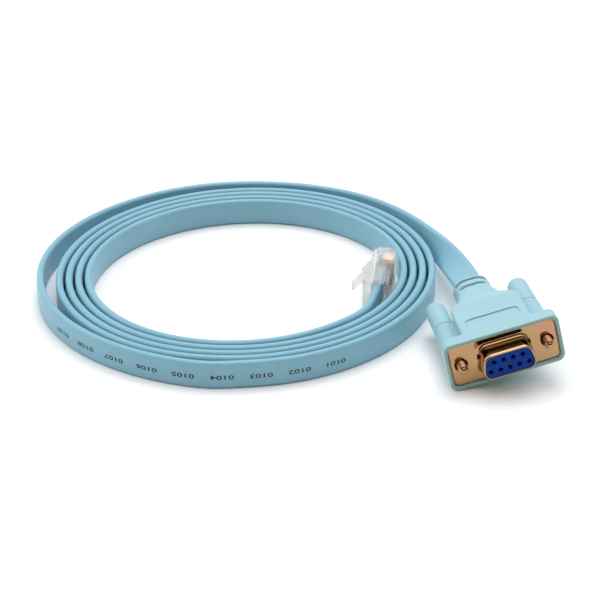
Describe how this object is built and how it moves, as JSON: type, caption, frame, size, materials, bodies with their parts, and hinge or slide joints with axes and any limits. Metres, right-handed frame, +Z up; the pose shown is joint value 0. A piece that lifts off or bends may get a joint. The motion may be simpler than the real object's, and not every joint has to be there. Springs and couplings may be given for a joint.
{
  "type": "console cable",
  "caption": "Flat console cable wound on its edge, with a clear modular plug on the inner end and a moulded D connector with thumbscrews on the outer end.",
  "frame": {"origin": "on the floor, below the middle of the D connector's box as the connector lies", "axes": "+Z up from the floor, +Y away from the viewer, from the D connector's mating face back towards its collar and 9.7 degrees off the connector's own axis, +X to the right"},
  "size_m": [0.1537, 0.1254, 0.0215],
  "materials": {
    "cable_jacket": "light blue flexible vinyl jacket, satin, with a fine extruded grain",
    "hood_plastic": "light blue moulded vinyl, satin",
    "shell_plate": "yellow passivated plating on sheet steel, semi-bright",
    "contact_plate": "gold flash on formed metal, bright",
    "insulator_plastic": "deep blue moulded insulator, slightly glossy",
    "clear_plastic": "clear moulded polycarbonate, glossy",
    "wire_insulation": "thin coloured wire insulation"
  },
  "bodies": {
    "cable_and_connectors": {"cable_coil": "cable_jacket", "cable_lead": "cable_jacket", "cable_tail": "cable_jacket", "plug_body": "clear_plastic", "connector_hood": "hood_plastic", "connector_shell": "shell_plate", "connector_insulator": "insulator_plastic", "plug_contact_1": "contact_plate", "plug_wire_1": "wire_insulation", "plug_contact_2": "contact_plate", "plug_wire_2": "wire_insulation", "plug_contact_3": "contact_plate", "plug_wire_3": "wire_insulation", "plug_contact_4": "contact_plate", "plug_wire_4": "wire_insulation", "plug_contact_5": "contact_plate", "plug_wire_5": "wire_insulation", "plug_contact_6": "contact_plate", "plug_wire_6": "wire_insulation", "plug_contact_7": "contact_plate", "plug_wire_7": "wire_insulation", "plug_contact_8": "contact_plate", "plug_wire_8": "wire_insulation", "socket_contact_upper_1": "contact_plate", "socket_contact_upper_2": "contact_plate", "socket_contact_upper_3": "contact_plate", "socket_contact_upper_4": "contact_plate", "socket_contact_lower_1": "contact_plate", "socket_contact_lower_2": "contact_plate", "socket_contact_lower_3": "contact_plate", "socket_contact_lower_4": "contact_plate", "socket_contact_lower_5": "contact_plate"},
    "left_thumbscrew": {"left_jackscrew": "shell_plate", "left_thumbscrew_knob": "hood_plastic"},
    "right_thumbscrew": {"right_jackscrew": "shell_plate", "right_thumbscrew_knob": "hood_plastic"}
  },
  "joints": [
    {"name": "left_thumbscrew_turn", "type": "hinge", "parent": "cable_and_connectors", "child": "left_thumbscrew", "pos_m": [-0.01045, -0.01841, 0.00781], "axis": [-0.169, 0.9856, 0], "continuous": true},
    {"name": "right_thumbscrew_turn", "type": "hinge", "parent": "cable_and_connectors", "child": "right_thumbscrew", "pos_m": [0.01349, -0.01431, 0.01368], "axis": [-0.169, 0.9856, 0], "continuous": true}
  ]
}
